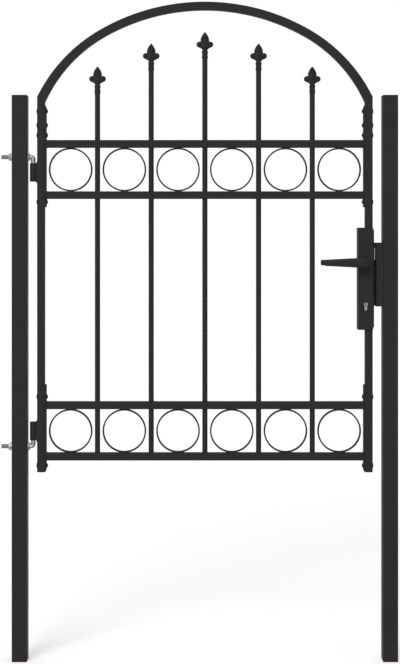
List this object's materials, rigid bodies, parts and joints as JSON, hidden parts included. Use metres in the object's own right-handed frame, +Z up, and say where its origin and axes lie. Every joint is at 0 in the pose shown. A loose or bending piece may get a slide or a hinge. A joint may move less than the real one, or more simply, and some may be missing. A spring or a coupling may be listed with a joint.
{
  "type": "arched garden gate",
  "caption": "Arched steel garden gate leaf with spear-topped bars and ring bands, hung between square posts, with a lever lock.",
  "frame": {"origin": "centre of the hinge post's foot", "axes": "+X along the gate to the latch post, +Y to the back of the gate, +Z up"},
  "size_m": [1.0515, 0.124, 1.7479],
  "materials": {
    "coated_steel": "black powder coating, satin",
    "lock_coating": "black powder coating, satin",
    "coated_casting": "black powder coating over cast iron",
    "zinc_plate": "zinc plated",
    "black_plastic": "moulded, matte",
    "lever_nylon": "moulded nylon, fine texture"
  },
  "bodies": {
    "posts": {"hinge_post": "coated_steel", "latch_post": "coated_steel", "post_caps": "black_plastic", "post_feet": "coated_steel", "upper_hook_bolt": "zinc_plate", "lower_hook_bolt": "zinc_plate", "hook_nuts": "zinc_plate", "strike_plate": "lock_coating"},
    "leaf": {"arch": "coated_steel", "hinge_stile": "coated_steel", "latch_stile": "coated_steel", "stile_plugs": "black_plastic", "hinge_upper_bracket": "coated_steel", "latch_upper_bracket": "coated_steel", "hinge_lower_bracket": "coated_steel", "latch_lower_bracket": "coated_steel", "hinge_side_bolts": "coated_steel", "latch_side_bolts": "coated_steel", "rail_1": "coated_steel", "rail_2": "coated_steel", "rail_3": "coated_steel", "rail_4": "coated_steel", "bar_1": "coated_steel", "bar_2": "coated_steel", "bar_3": "coated_steel", "bar_4": "coated_steel", "bar_5": "coated_steel", "spear_1": "coated_casting", "spear_2": "coated_casting", "spear_3": "coated_casting", "spear_4": "coated_casting", "spear_5": "coated_casting", "upper_rings": "coated_steel", "lower_rings": "coated_steel", "upper_lug": "coated_steel", "lower_lug": "coated_steel", "lock_case": "lock_coating", "face_plate": "lock_coating", "lock_cylinder": "zinc_plate", "deadbolt": "zinc_plate"},
    "lever": {"spindle": "zinc_plate", "front_lever": "lever_nylon", "back_lever": "lever_nylon"},
    "latch": {"latch_bolt": "zinc_plate"}
  },
  "joints": [
    {"name": "leaf_swing", "type": "hinge", "parent": "posts", "child": "leaf", "pos_m": [0.035, 0, 0.568], "axis": [0, 0, -1], "range_deg": [0, 90]},
    {"name": "lever_turn", "type": "hinge", "parent": "leaf", "child": "lever", "pos_m": [0.916, 0, 1.055], "axis": [0, -1, 0], "range_deg": [0, 40], "stiffness_Nm_per_rad": 1.5, "springref_deg": -11.46},
    {"name": "latch_slide", "type": "slide", "parent": "leaf", "child": "latch", "axis": [-1, 0, 0], "range_m": [0, 0.0055]}
  ],
  "couplings": [
    {"joint": "latch_slide", "follows": "lever_turn", "m_per_rad": 0.0078}
  ]
}
